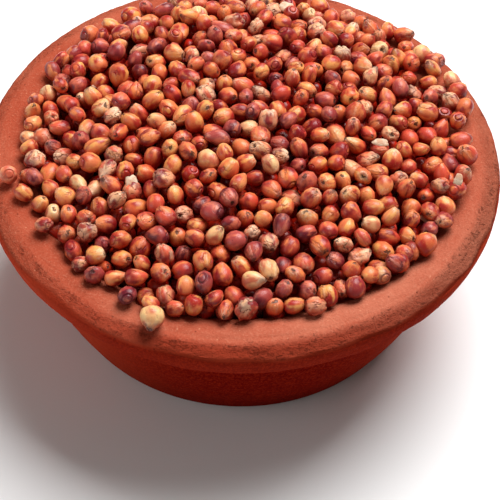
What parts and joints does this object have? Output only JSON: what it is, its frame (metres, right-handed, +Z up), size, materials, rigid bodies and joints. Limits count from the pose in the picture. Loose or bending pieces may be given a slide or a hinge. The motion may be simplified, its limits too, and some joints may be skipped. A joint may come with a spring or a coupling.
{
  "type": "clay bowl of sorghum grain",
  "caption": "Round fired-clay bowl with a thick rolled lip, heaped with loose red sorghum kernels, for holding and showing threshed grain.",
  "frame": {"origin": "centre of the bowl's flat foot", "axes": "+Z up along the bowl's axis, -Y towards the viewer of the picture"},
  "size_m": [0.104, 0.104, 0.0476],
  "materials": {
    "fired_clay": "matt, unglazed",
    "sorghum_grain": "waxy seed coat, half gloss",
    "pale_sorghum_grain": "waxy seed coat, half gloss"
  },
  "bodies": {
    "root": {"bowl": "fired_clay", "grain_heap": "sorghum_grain", "stray_kernel_left": "sorghum_grain", "stray_kernel_front": "pale_sorghum_grain"}
  },
  "joints": []
}
